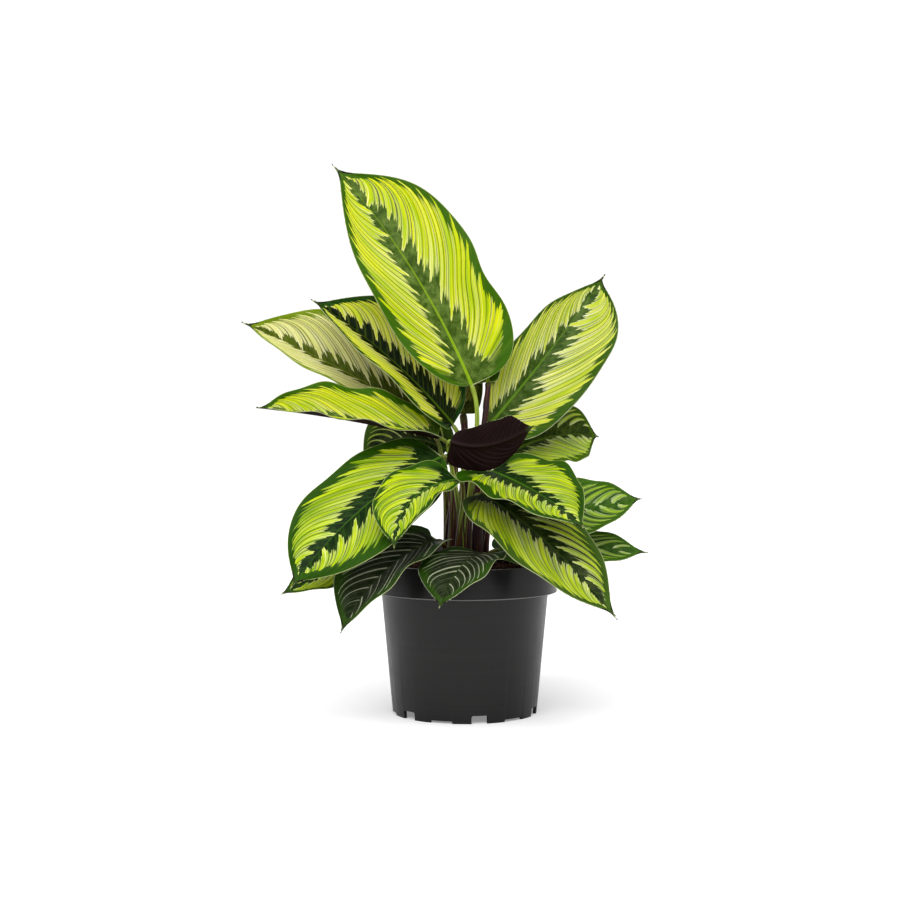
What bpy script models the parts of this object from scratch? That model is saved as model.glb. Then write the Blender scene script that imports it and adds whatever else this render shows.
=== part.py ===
"""Potted calathea: a turned grower pot, the soil in it, and twenty-four leaves, each on its own stalk.

The pot axis is the Z axis, the floor is Z = 0, and the side seen in the photograph faces -Y.
"""

import math

import bmesh
import bpy
import numpy as np
from mathutils import Vector

MM = 0.001

# Pot
RIM_RADIUS = 70.0
RIM_HEIGHT = 22.0
POT_HEIGHT = 114.0
NECK_RADIUS = 63.2
BASE_RADIUS = 54.7
NECK_HEIGHT = POT_HEIGHT - RIM_HEIGHT
WALL = 1.5
RIM_LIP = 3.2
RIM_INNER_RADIUS = RIM_RADIUS - RIM_LIP
RIM_EDGE = 0.9
RIM_DRAFT = 0.4
SHOULDER_FILLET = 1.2
STEP_RADIUS = NECK_RADIUS + 1.5
FLOOR_UNDERSIDE = 7.5
FLOOR_TOP = 9.1
SKIRT_FOOT = 2.2
SKIRT_LIFT = 1.8
NOTCH_COUNT = 6
NOTCH_WIDTH = 12.0
NOTCH_DEPTH = 14.0
NOTCH_HEIGHT = 6.0
NOTCH_TURN = 11.0
PAD_LENGTH = 14.0
CENTRE_FOOT_RADIUS = 12.0
POT_STEPS = 54

# Soil
GAP = 0.3
SOIL_SIDE_GAP = 0.45
SOIL_EDGE_HEIGHT = 107.5
SOIL_CROWN_HEIGHT = 110.5
SOIL_BUMPS = 0.7
SOIL_STEPS = 36
STALK_HOLE_DEPTH = 14.0
STALK_HOLE_ROOM = 1.1

# Leaves
MIDRIB_THICKNESS = 1.7
BLADE_THICKNESS = 0.7
NECK_HALF_WIDTH = 1.3
DRIP_TIP = 0.955
STALK_BEVEL = 1
STALK_POINTS = 10
STALK_TAPER = 0.22
SHEATH_SPREAD = 0.6
SHEATH_END = 0.55
SMALL_GRID = (13, 6)
LARGE_GRID = (16, 8)


def unit(v):
    return v / np.linalg.norm(v, axis=-1, keepdims=True)


class Leaf:
    """One leaf. The midrib runs through base, mid and tip, and face is where the upper side looks.

    half, fold and cup hold a value for the left and for the right half, seen from above with the tip away.
    root is the place of the stalk in the soil, arch is how far the stalk runs in line with the midrib, and
    rise is how straight up it starts. widest is where each half is widest, point how full it stays towards the
    tip, blunt how slim it is at the base,
    lobe how far it reaches back past the base, and dent a shallow hollow in the edge: place, left, right.
    """

    def __init__(self, name, base, mid, tip, half, face, root, fold=(12, 12), cup=(6, 6),
                 wave=(2.0, 3.0, 0.0), face_tip=None, stalk=1.9, arch=18.0, rise=0.5, widest=(0.4, 0.4),
                 lobe=0.03, point=(2.8, 2.8), blunt=(0.42, 0.42), dent=(0.4, 0, 0), large=False):
        self.name = name
        self.base = np.array(base, float)
        self.mid = np.array(mid, float)
        self.tip = np.array(tip, float)
        self.half = half
        self.face = unit(np.array(face, float))
        self.face_tip = unit(np.array(face_tip or face, float))
        self.root = root
        self.fold = fold
        self.cup = cup
        self.wave = wave
        self.stalk = stalk
        self.arch = arch
        self.rise = rise
        self.widest = widest
        self.lobe = lobe
        self.point = point
        self.blunt = blunt
        self.dent = dent
        self.large = large

    def frame(self, u):
        """Point, direction, right side and upper side of the midrib at u from 0 to 1."""
        u = np.asarray(u, float)[..., None]
        c = 2 * self.mid - (self.base + self.tip) / 2
        point = (1 - u) ** 2 * self.base + 2 * u * (1 - u) * c + u**2 * self.tip
        along = unit(2 * (1 - u) * (c - self.base) + 2 * u * (self.tip - c))
        face = self.face * (1 - u) + self.face_tip * u
        side = unit(np.cross(along, face))
        return point, along, side, np.cross(side, along)

    def half_width(self, u, k):
        """Reach of the blade from the midrib at u, on the left for k = 0 and on the right for k = 1."""
        body = np.clip(u / DRIP_TIP, 0, 1)
        widest = self.widest[k]
        to_base = np.clip((widest - body) / widest, 0, 1)
        to_tip = np.clip((body - widest) / (1 - widest), 0, 1)
        width = (1 - to_base**2.6) ** self.blunt[k] * (1 - to_tip ** self.point[k]) ** 1.15
        width = width * (1 - self.dent[1 + k] * np.exp(-(((u - self.dent[0]) / 0.1) ** 2)))
        return width * self.half[k] + NECK_HALF_WIDTH * np.clip((1 - u) / 0.06, 0, 1) * (1 - 0.3 * u)

    def surface(self, u, v):
        """Upper side of the blade at u along the midrib and v from -1 at the left edge to 1 at the right."""
        right = v > 0
        half = np.where(right, self.half[1], self.half[0])
        reach = np.where(right, self.half_width(u, 1), self.half_width(u, 0))
        d = np.abs(v) * reach
        back = np.clip((d - 2) / (0.5 * half), 0, 1)
        point, along, side, up = self.frame(u - self.lobe * back * back * (3 - 2 * back) * (1 - u) ** 6)
        fold = np.radians(np.where(right, self.fold[1], self.fold[0]))
        bend = np.radians(np.where(right, self.cup[1], self.cup[0])) / half + 1e-6
        across = (np.sin(fold + bend * d) - np.sin(fold)) / bend
        lift = (np.cos(fold) - np.cos(fold + bend * d)) / bend
        size, count, phase = self.wave
        ripple = np.sin(2 * np.pi * count * u + phase + np.where(right, 1.1, -0.6))
        lift = lift + size * np.abs(v) ** 2.5 * reach / half * ripple
        return point + (np.sign(v) * across)[..., None] * side + lift[..., None] * up


LEAVES = [
    # Upper leaves, from the tallest down
    Leaf("top", base=(5, -12, 248), mid=(-41, 2, 337), tip=(-103, 37, 420), half=(38, 50), widest=(0.42, 0.37),
         face=(0.15, -1, 0.25), root=(1, -4), fold=(8, 10), cup=(4, 4), wave=(2.5, 2.5, 1.0), arch=30,
         point=(2.4, 3.6), dent=(0.34, 0, 0.13), lobe=0.0, large=True, blunt=(0.6, 0.3), stalk=2.1),
    Leaf("right_high", base=(19, 5, 218), mid=(66, 20, 275), tip=(110, 45, 335), half=(26, 43.5),
         face=(-0.25, -1, 0.15), root=(9, 1), fold=(28, 10), cup=(6, 4), wave=(2.0, 3.0, 2.0), arch=25,
         large=True, stalk=2.2, blunt=(0.8, 0.42), point=(2.8, 4.2)),
    Leaf("left_far", base=(-34, 22, 224), mid=(-103, 36, 264), tip=(-175, 51, 298), half=(32, 40),
         face=(0.2, -0.8, 0.5), root=(-14, 12), fold=(34, 28), cup=(6, 6), wave=(2.0, 3.0, 0.5), arch=25,
         large=True),
    Leaf("left_high", base=(-9, 0, 218), mid=(-60, 7, 271), tip=(-118, 22, 314), half=(34, 40),
         face=(0.35, -0.85, 0.4), root=(-6, 4), fold=(38, 32), cup=(4, 4), wave=(2.0, 2.5, 2.5), arch=25,
         large=True, blunt=(0.42, 0.9)),
    Leaf("left_flat", base=(-20, -15, 209), mid=(-92, -40, 223.5), tip=(-151, -60, 231), half=(14, 27),
         face=(0, -0.35, 1), root=(-9, -4), fold=(19, 44), cup=(0, 4), wave=(1.8, 3.5, 0.0), arch=22, large=True,
         stalk=1.7),
    Leaf("left_shaded", base=(-14, 24, 198), mid=(-52, 38, 206), tip=(-80, 52, 184), half=(30, 24),
         face=(-0.1, -1, 0.3), root=(-15, 3), arch=20),
    Leaf("back_tall", base=(-1, 24, 226), mid=(-12, 46, 298), tip=(-24, 75, 365), half=(30, 20),
         face=(0.2, -1, 0.3), root=(1, 11), arch=25, stalk=3.4),
    Leaf("back_centre", base=(17.5, -3, 250), mid=(7, 20, 300), tip=(-8, 44, 342), half=(15, 13),
         face=(0.1, -1, 0.3), root=(8, -10), arch=8, stalk=2.6),
    # Middle leaves
    Leaf("left_low", base=(-18, -17, 194), mid=(-76, -66, 157), tip=(-124, -96, 103), half=(44, 37),
         face=(-0.35, -0.8, 0.6), root=(-11, -13), fold=(2, 10), cup=(4, 10), wave=(1.0, 3.0, 1.0), arch=20,
         widest=(0.55, 0.4), lobe=0.0, large=True, point=(2.8, 4.2), blunt=(0.75, 0.22)),
    Leaf("front_small", base=(-6.5, -51, 178.5), mid=(-39, -87, 165), tip=(-50, -112, 133), half=(23, 27),
         face=(-0.3, -0.7, 0.7), root=(-6, -20), fold=(15, 10), wave=(1.5, 3.0, 0.0), arch=15, blunt=(0.8, 0.16),
         lobe=0.0, widest=(0.42, 0.32)),
    Leaf("front_upright", base=(-10, -42, 206), mid=(18, -55, 204), tip=(49, -65, 218), half=(20, 16),
         face=(0, 0.9, 0.35), root=(-1, -12), fold=(3, 3), wave=(1.5, 2.0, 0.0), arch=8, widest=(0.3, 0.85),
         blunt=(0.12, 0.5), point=(2.0, 2.8)),
    Leaf("right_front", base=(20, -36, 184), mid=(54, -90, 169), tip=(80, -138, 149), half=(33, 39),
         face=(0.05, -0.5, 0.9), root=(11, -18), fold=(13, 8), cup=(6, 8), wave=(2.5, 3.0, 1.5), arch=15,
         widest=(0.32, 0.3), lobe=0.07, large=True, point=(1.9, 2.8), blunt=(0.42, 0.24)),
    Leaf("right_mid", base=(34, 14, 196), mid=(72, 32, 209), tip=(105, 42, 208), half=(26, 32),
         face=(0, -0.8, 0.6), root=(15, 7), arch=20, point=(4.0, 4.6)),
    Leaf("right_low", base=(12, -38, 167), mid=(57, -85, 136), tip=(105, -115, 84), half=(29, 37),
         face=(0.2, -0.7, 0.6), root=(3, -21), wave=(2.0, 3.0, 0.0), arch=15, widest=(0.4, 0.45), lobe=0.0,
         large=True),
    Leaf("right_far", base=(46, -5, 152), mid=(90, -12, 156), tip=(132, -20, 163), half=(22, 28),
         face=(0, -0.8, 0.6), root=(16, -2), arch=25, rise=1.0),
    # Low leaves round the rim
    Leaf("right_rim", base=(26, -10, 124), mid=(84, -14, 126), tip=(137, -16, 122), half=(18, 28),
         face=(0, -0.6, 0.8), root=(16, -11), arch=8),
    Leaf("left_sliver", base=(-52, -20, 130), mid=(-96, -34, 112), tip=(-135, -45, 94), half=(20, 20),
         face=(-0.2, -0.7, 0.7), root=(-19, -7), arch=12),
    Leaf("rim_left", base=(-22, -38, 133), mid=(-60, -68, 112), tip=(-89, -85, 71), half=(27, 32),
         face=(-0.5, -0.6, 0.7), root=(-14, -22), arch=10, lobe=0.08, widest=(0.4, 0.3), point=(2.8, 4.2)),
    Leaf("rim_front", base=(13, -46, 124), mid=(-5, -78, 116), tip=(-19, -100, 90), half=(28, 30),
         face=(-0.2, -0.6, 0.8), root=(11, -28), arch=8, fold=(12, 2), cup=(6, 0)),
    # Leaves at the back
    Leaf("back_left", base=(-22, 42, 186), mid=(-48, 92, 188), tip=(-68, 140, 166), half=(30, 30),
         face=(0.1, 0.3, 1), root=(-8, 19), arch=20),
    Leaf("back_right", base=(30, 42, 184), mid=(56, 88, 190), tip=(72, 128, 172), half=(24, 24),
         face=(0, 0.4, 1), root=(14, 17), arch=20),
    Leaf("back_low", base=(3, 46, 196), mid=(4, 100, 204), tip=(4, 146, 184), half=(26, 26),
         face=(0, 0.5, 1), root=(3, 20), arch=18),
    Leaf("rim_back", base=(-6, 36, 120), mid=(-18, 80, 116), tip=(-27, 114, 84), half=(24, 24),
         face=(0, 0.5, 1), root=(-2, 27), arch=8),
    Leaf("rim_back_right", base=(30, 24, 120), mid=(62, 58, 115), tip=(86, 84, 82), half=(22, 22),
         face=(0.3, 0.3, 1), root=(22, 12), arch=8),
]


def clear_scene():
    for obj in list(bpy.data.objects):
        bpy.data.objects.remove(obj, do_unlink=True)


def material(name, color, roughness):
    mat = bpy.data.materials.new(name)
    mat.use_nodes = True
    shader = mat.node_tree.nodes["Principled BSDF"]
    shader.inputs["Base Color"].default_value = (*color, 1)
    shader.inputs["Roughness"].default_value = roughness
    mat.diffuse_color = (*color, 1)
    return mat


def mesh_object(name, bm, mat, collection=None):
    mesh = bpy.data.meshes.new(name)
    bm.to_mesh(mesh)
    bm.free()
    obj = bpy.data.objects.new(name, mesh)
    (collection or bpy.context.scene.collection).objects.link(obj)
    if mat:
        mesh.materials.append(mat)
    return obj


def helper(name, bm):
    """A cutter, kept out of the render in a collection of its own."""
    cutters = bpy.data.collections.get("cutters")
    if cutters is None:
        cutters = bpy.data.collections.new("cutters")
        bpy.context.scene.collection.children.link(cutters)
        cutters.hide_render = True
    obj = mesh_object(name, bm, None, cutters)
    obj.hide_render = True
    obj.display_type = "WIRE"
    return obj


def turned(name, profile, steps, mat):
    """A closed profile of (radius, height), running down its outer side, turned round the Z axis."""
    bm = bmesh.new()
    points = [bm.verts.new((r * MM, 0, z * MM)) for r, z in profile]
    for first, second in zip(points, points[1:]):
        bm.edges.new((first, second))
    if profile[0][0] > 0:
        bm.edges.new((points[-1], points[0]))
    obj = mesh_object(name, bm, mat)
    screw = obj.modifiers.new("turned", "SCREW")
    screw.steps = steps
    screw.render_steps = steps
    screw.use_merge_vertices = True
    screw.merge_threshold = 0.0001
    return obj


def cut(obj, name, bm):
    boolean = obj.modifiers.new(name, "BOOLEAN")
    boolean.operation = "DIFFERENCE"
    boolean.solver = "EXACT"
    boolean.object = helper(name, bm)


def box(bm, centre, size, turn):
    """A box of this size, moved to centre and then turned round the Z axis."""
    made = bmesh.ops.create_cube(bm, size=1)["verts"]
    for vert in made:
        x = centre[0] + vert.co.x * size[0]
        y = centre[1] + vert.co.y * size[1]
        z = centre[2] + vert.co.z * size[2]
        c, s = math.cos(turn), math.sin(turn)
        vert.co = Vector(((x * c - y * s) * MM, (x * s + y * c) * MM, z * MM))


def body_radius(z):
    return BASE_RADIUS + (NECK_RADIUS - BASE_RADIUS) * z / NECK_HEIGHT


def inner_wall():
    """The pot's inner wall from the floor up to the lip, as (radius, height)."""
    narrow = NECK_HEIGHT - 3
    return [
        (body_radius(FLOOR_TOP) - WALL, FLOOR_TOP),
        (body_radius(narrow) - WALL, narrow),
        (STEP_RADIUS, NECK_HEIGHT + 4),
        (RIM_INNER_RADIUS, POT_HEIGHT - 5),
        (RIM_INNER_RADIUS, POT_HEIGHT - RIM_EDGE),
    ]


def inside_radius(z):
    radii, heights = zip(*inner_wall())
    return float(np.interp(z, heights, radii))


def build_pot(mat):
    profile = [
        (0, FLOOR_TOP),
        *inner_wall(),
        (RIM_INNER_RADIUS + RIM_EDGE, POT_HEIGHT),
        (RIM_RADIUS - RIM_EDGE, POT_HEIGHT),
        (RIM_RADIUS, POT_HEIGHT - RIM_EDGE),
        (RIM_RADIUS - RIM_DRAFT, NECK_HEIGHT + RIM_EDGE),
        (RIM_RADIUS - RIM_DRAFT - RIM_EDGE, NECK_HEIGHT),
        (NECK_RADIUS + SHOULDER_FILLET, NECK_HEIGHT),
        (NECK_RADIUS, NECK_HEIGHT - SHOULDER_FILLET),
        (BASE_RADIUS, 0),
        (BASE_RADIUS - SKIRT_FOOT, 0),
        (body_radius(FLOOR_UNDERSIDE) - SKIRT_FOOT, FLOOR_UNDERSIDE),
        (CENTRE_FOOT_RADIUS + 1, FLOOR_UNDERSIDE),
        (CENTRE_FOOT_RADIUS, 0),
        (0, 0),
    ]
    obj = turned("pot", profile, POT_STEPS, mat)
    step = 2 * math.pi / NOTCH_COUNT
    first = math.radians(NOTCH_TURN - 90)
    bm = bmesh.new()
    for n in range(NOTCH_COUNT):
        box(bm, (BASE_RADIUS, 0, 0), (NOTCH_DEPTH, NOTCH_WIDTH, 2 * NOTCH_HEIGHT), first + n * step)
    cut(obj, "notches", bm)
    # Each notch has a pad on either side, and between the pads the skirt stops short of the floor.
    bm = bmesh.new()
    half = (NOTCH_WIDTH / 2 + PAD_LENGTH) / BASE_RADIUS
    for n in range(NOTCH_COUNT):
        start = first + n * step + half
        end = first + (n + 1) * step - half
        ring = []
        for z in (-5.0, SKIRT_LIFT):
            arc = [start + (end - start) * k / 4 for k in range(5)]
            row = [(BASE_RADIUS + 6, a) for a in arc] + [(BASE_RADIUS - 8, a) for a in reversed(arc)]
            ring.append([bm.verts.new((r * math.cos(a) * MM, r * math.sin(a) * MM, z * MM)) for r, a in row])
        lower, upper = ring
        for k in range(len(lower)):
            m = (k + 1) % len(lower)
            bm.faces.new((lower[k], lower[m], upper[m], upper[k]))
        bm.faces.new(upper)
        bm.faces.new(lower[::-1])
    bmesh.ops.recalc_face_normals(bm, faces=bm.faces)
    cut(obj, "skirt_gaps", bm)
    return obj


def soil_height(x, y):
    """Height of the soil at a place: mounded round the stalks, with soft lumps."""
    r = math.hypot(x, y)
    mound = math.exp(-((r / 38) ** 2))
    lumps = math.sin(x / 7 + 1.3) * math.cos(y / 8 - 0.4) + math.sin((x + y) / 11 + 2)
    return SOIL_EDGE_HEIGHT + (SOIL_CROWN_HEIGHT - SOIL_EDGE_HEIGHT) * mound + SOIL_BUMPS * lumps / 2


def build_soil(mat):
    bottom = FLOOR_TOP + GAP
    below_edge = SOIL_EDGE_HEIGHT - 1.5
    edge = inside_radius(below_edge) - SOIL_SIDE_GAP
    profile = [(r, SOIL_EDGE_HEIGHT) for r in (0, 16, 34, 52, edge - 1.5)]
    profile += [(edge, below_edge)]
    profile += [(inside_radius(z) - SOIL_SIDE_GAP, z) for z in (NECK_HEIGHT + 4, NECK_HEIGHT - 3, bottom)]
    profile += [(0, bottom)]
    bm = bmesh.new()
    points = [bm.verts.new((r * MM, 0, z * MM)) for r, z in profile]
    edges = [bm.edges.new(pair) for pair in zip(points, points[1:])]
    bmesh.ops.spin(
        bm, geom=points + edges, cent=(0, 0, 0), axis=(0, 0, 1), angle=2 * math.pi, steps=SOIL_STEPS, use_merge=True
    )
    bmesh.ops.remove_doubles(bm, verts=bm.verts, dist=0.00005)
    for vert in bm.verts:
        x, y, z = (c / MM for c in vert.co)
        if z > SOIL_EDGE_HEIGHT - 0.5 and math.hypot(x, y) < edge - 2.5:
            vert.co.z = soil_height(x, y) * MM
    bmesh.ops.triangulate(bm, faces=bm.faces)
    bmesh.ops.recalc_face_normals(bm, faces=bm.faces)
    obj = mesh_object("soil", bm, mat)
    bm = bmesh.new()
    for leaf in LEAVES:
        x, y = leaf.root
        radius = (leaf.stalk + STALK_HOLE_ROOM) * MM
        made = bmesh.ops.create_cone(
            bm, cap_ends=True, segments=10, radius1=radius, radius2=radius, depth=2 * STALK_HOLE_DEPTH * MM
        )
        bmesh.ops.translate(bm, verts=made["verts"], vec=Vector((x, y, soil_height(x, y))) * MM)
    cut(obj, "stalk_holes", bm)
    return obj


def build_stalk(leaf, mat):
    """The stalk of a leaf: straight in its hole, then an arc that ends in line with the midrib."""
    x, y = leaf.root
    ground = soil_height(x, y)
    low = np.array((x, y, ground - STALK_HOLE_DEPTH + GAP))
    start = np.array((x, y, ground + 2))
    point, along, side, up = (a[0] for a in leaf.frame(np.array([0.0])))
    end = point - along * 0.35 - up * MIDRIB_THICKNESS / 2
    lift = np.array((0, 0, leaf.rise * max(8.0, end[2] - ground)))
    handle = end - along * leaf.arch
    places = [low]
    weights = [leaf.stalk + 0.4]
    for n in range(STALK_POINTS):
        t = n / (STALK_POINTS - 1)
        places.append(
            (1 - t) ** 3 * start + 3 * t * (1 - t) ** 2 * (start + lift)
            + 3 * t * t * (1 - t) * handle + t**3 * end
        )
        sheath = SHEATH_SPREAD * max(0.0, 1 - t / SHEATH_END)
        weights.append(leaf.stalk * (1 - STALK_TAPER * t) + sheath)
    places.insert(-1, end - along * 1.2)
    weights.append(leaf.stalk * (1 - STALK_TAPER))
    curve = bpy.data.curves.new("petiole_" + leaf.name, "CURVE")
    curve.dimensions = "3D"
    curve.bevel_depth = MM
    curve.bevel_resolution = STALK_BEVEL
    curve.use_fill_caps = True
    spline = curve.splines.new("POLY")
    spline.points.add(len(places) - 1)
    for place, weight, knot in zip(places, weights, spline.points):
        knot.co = (*(place * MM), 1)
        knot.radius = weight
    curve.materials.append(mat)
    obj = bpy.data.objects.new("petiole_" + leaf.name, curve)
    bpy.context.scene.collection.objects.link(obj)
    return obj


def build_blade(leaf, mat):
    """The blade: a flat grid bent to the leaf surface, then given thickness, more of it at the midrib."""
    along, across = LARGE_GRID if leaf.large else SMALL_GRID
    bm = bmesh.new()
    bmesh.ops.create_grid(bm, x_segments=along, y_segments=across, size=1)
    bm.verts.ensure_lookup_table()
    flat = np.array([vert.co[:] for vert in bm.verts])
    t = (flat[:, 0] + 1) / 2
    u = 0.5 * t + 0.5 * (0.5 - 0.5 * np.cos(np.pi * t))
    v = np.round(flat[:, 1], 6)
    for vert, place in zip(bm.verts, leaf.surface(u, v)):
        vert.co = place * MM
    bmesh.ops.reverse_faces(bm, faces=bm.faces)
    ribs = [vert.index for vert, side in zip(bm.verts, v) if abs(side) < 1e-4]
    rib_places = [bm.verts[k].co.copy() for k in ribs]
    bmesh.ops.remove_doubles(bm, verts=bm.verts, dist=0.00009)
    bmesh.ops.dissolve_degenerate(bm, edges=bm.edges, dist=0.00002)
    bmesh.ops.triangulate(bm, faces=bm.faces)
    obj = mesh_object("leaf_" + leaf.name, bm, mat)
    group = obj.vertex_groups.new(name="midrib")
    for vert in obj.data.vertices:
        near = min((vert.co - place).length for place in rib_places)
        group.add([vert.index], 1.0 if near < 0.0002 else 0.0, "REPLACE")
    solid = obj.modifiers.new("thickness", "SOLIDIFY")
    solid.thickness = MIDRIB_THICKNESS * MM
    solid.offset = -1
    solid.vertex_group = "midrib"
    solid.thickness_vertex_group = BLADE_THICKNESS / MIDRIB_THICKNESS
    return obj


def main():
    clear_scene()
    charcoal = material("pot plastic", (0.028, 0.027, 0.026), 0.45)
    earth = material("potting soil", (0.045, 0.022, 0.014), 0.95)
    green = material("leaf blade", (0.16, 0.36, 0.04), 0.4)
    stalk = material("leaf stalk", (0.13, 0.08, 0.05), 0.45)
    build_pot(charcoal)
    build_soil(earth)
    for leaf in LEAVES:
        build_stalk(leaf, stalk)
        build_blade(leaf, green)


main()
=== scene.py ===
"""Potted calathea, dressed: a grower pot, peat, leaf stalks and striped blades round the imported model.

The pot axis is the Z axis, the floor is Z = 0, and the side seen in the photograph faces -Y.
"""

import math
import random

import bmesh
import bpy
import numpy as np
from mathutils import Matrix, Vector, noise


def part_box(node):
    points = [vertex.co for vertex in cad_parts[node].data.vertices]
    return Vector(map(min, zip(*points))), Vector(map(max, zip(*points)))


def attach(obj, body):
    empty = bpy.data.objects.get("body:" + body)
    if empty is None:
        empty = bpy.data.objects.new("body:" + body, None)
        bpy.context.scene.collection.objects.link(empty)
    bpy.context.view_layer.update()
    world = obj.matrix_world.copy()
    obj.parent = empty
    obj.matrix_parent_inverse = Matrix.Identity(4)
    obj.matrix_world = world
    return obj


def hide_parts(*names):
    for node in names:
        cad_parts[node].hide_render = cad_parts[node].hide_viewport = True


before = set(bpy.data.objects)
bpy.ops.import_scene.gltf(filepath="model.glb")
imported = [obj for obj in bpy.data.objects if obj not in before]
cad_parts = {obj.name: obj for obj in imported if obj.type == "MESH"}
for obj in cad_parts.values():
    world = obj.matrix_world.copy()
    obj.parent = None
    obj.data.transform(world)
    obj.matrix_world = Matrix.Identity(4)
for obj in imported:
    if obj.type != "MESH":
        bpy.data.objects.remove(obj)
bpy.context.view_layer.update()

# Grower pot: one thin piece of black recycled polypropylene, injection moulded, with a deep rim to stack by
# and a foot cut by six notches for drainage. Each notch has a pad on either side, and between the pads the
# skirt stops short of the floor.
MM = 0.001  # sizes are in millimetres, and this turns them into metres
pot_low, pot_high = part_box("pot")
RIM_RADIUS = (pot_high.x - pot_low.x) / 2 / MM
POT_HEIGHT = pot_high.z / MM
RIM_HEIGHT = 22.0
RIM_LIP = 3.2
RIM_DRAFT = 0.5
RIM_BEAD = 0.4
SHOULDER_FILLET = 1.2
NECK_HEIGHT = POT_HEIGHT - RIM_HEIGHT
NECK_RADIUS = 63.2
BASE_RADIUS = 54.7
WALL = 1.5
FLOOR_UNDERSIDE = 7.5
FLOOR_TOP = 9.1
SKIRT_FOOT = 2.2
SKIRT_LIFT = 1.8
NOTCH_COUNT = 6
NOTCH_WIDTH = 12.0
NOTCH_HEIGHT = 6.0
NOTCH_TURN = 11.0
PAD_LENGTH = 14.0
CENTRE_FOOT_RADIUS = 12.0
POT_STEPS = 180
CUT_DEPTH = 14.0
NOTCH_CORNER = 1.3
SKIRT_CORNER = 0.9
POT_EDGE = 0.45
FLOOR_CORNER = 1.5
STEP_LOW = NECK_HEIGHT - 3
STEP_HIGH = NECK_HEIGHT + 4
STEP_RADIUS = NECK_RADIUS + 1.5
LIP_HEIGHT = 5.0
BEAD_HEIGHT = 0.8
BEAD_SLOPE = 0.4
SKIRT_TOP = 2.4
CENTRE_FOOT_SLOPE = 1.0
SAME_PLACE = 0.1
MERGED = 0.01
CRISP = math.radians(35)
CLOUD_SIZE = 30.0
FLOW_STRETCH = (0.02, 0.02, 0.9)
GRAIN_SIZE = 0.6
GRAIN_DEPTH = 0.1
HIGHLIGHT_FULLY = 0.35
HIGHLIGHT_END = 1.0
RGBA = {"data_type": "RGBA"}


def linear(code):
    """The linear colour of an sRGB hex value."""
    parts = [int(code[k : k + 2], 16) / 255 for k in (1, 3, 5)]
    return (*(c / 12.92 if c < 0.04045 else ((c + 0.055) / 1.055) ** 2.4 for c in parts), 1.0)


def paint(name):
    """A new material and its node tree, with nothing in it."""
    made = bpy.data.materials.new(name)
    made.use_nodes = True
    made.node_tree.nodes.clear()
    return made, made.node_tree


def add(tree, kind, settings=None, links=None):
    """Adds a node. Settings are properties or values of its sockets, and links join its sockets to others."""
    node = tree.nodes.new("ShaderNode" + kind)
    for name, value in (settings or {}).items():
        if isinstance(name, int) or name in node.inputs:
            node.inputs[name].default_value = value
        else:
            setattr(node, name, value)
    for name, source in (links or {}).items():
        tree.links.new(node.inputs[name], getattr(source, "outputs", [source])[0])
    return node


def piece_of(name, bm, *materials):
    """Ends a bmesh as an object of this name."""
    mesh = bpy.data.meshes.new(name)
    bm.to_mesh(mesh)
    bm.free()
    piece = bpy.data.objects.new(name, mesh)
    bpy.context.scene.collection.objects.link(piece)
    for one in materials:
        mesh.materials.append(one)
    return piece


def settled(piece):
    """Makes a piece's modifiers part of its mesh, and shades it smooth between its crisp edges."""
    bpy.context.view_layer.update()
    made = bpy.data.meshes.new_from_object(piece.evaluated_get(bpy.context.evaluated_depsgraph_get()))
    made.name = piece.name
    piece.modifiers.clear()
    piece.data = made
    made.shade_smooth()
    made.set_sharp_from_angle(angle=CRISP)
    return piece


def fitted(piece, slot, *nodes):
    """Seats a piece on the one body, in the place of these nodes."""
    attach(piece, "root")
    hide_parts(*nodes)
    return piece


def body_radius(z):
    """Outer radius of the body under the rim at this height."""
    return BASE_RADIUS + (NECK_RADIUS - BASE_RADIUS) * z / NECK_HEIGHT


def turned(profile, steps):
    """A closed bmesh: a profile of radii and heights, turned full circle round the pot's axis."""
    bm = bmesh.new()
    points = [bm.verts.new((r * MM, 0, z * MM)) for r, z in profile]
    edges = [bm.edges.new(pair) for pair in zip(points, points[1:])]
    bmesh.ops.spin(
        bm, geom=points + edges, cent=(0, 0, 0), axis=(0, 0, 1), angle=math.tau, steps=steps, use_merge=True
    )
    bmesh.ops.remove_doubles(bm, verts=bm.verts, dist=MERGED * MM)
    bmesh.ops.recalc_face_normals(bm, faces=bm.faces)
    return bm


def cut_from_foot(cutters, middle, width, height, corner):
    """Adds a block with rounded upper corners, bent round the foot, that cuts a gap up to this height."""
    block = bmesh.new()
    bmesh.ops.create_cube(block, size=1)
    bmesh.ops.scale(block, vec=(CUT_DEPTH, width, 2 * height), verts=block.verts)
    upper = [e for e in block.edges if all(v.co.z > 0 for v in e.verts)]
    radial = [e for e in upper if abs(e.verts[0].co.y - e.verts[1].co.y) < SAME_PLACE]
    bmesh.ops.bevel(block, geom=radial, offset=corner, segments=4, affect="EDGES", profile=0.5, material=-1)
    along = [e for e in block.edges if abs(e.verts[0].co.y - e.verts[1].co.y) > width / 2]
    bmesh.ops.subdivide_edges(block, edges=along, cuts=7, use_grid_fill=True)
    for vert in block.verts:
        angle = middle + vert.co.y / BASE_RADIUS
        reach = BASE_RADIUS + vert.co.x
        vert.co = Vector((reach * math.cos(angle), reach * math.sin(angle), vert.co.z)) * MM
    made = bpy.data.meshes.new("foot cut")
    block.to_mesh(made)
    block.free()
    cutters.from_mesh(made)
    bpy.data.meshes.remove(made)


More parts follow.
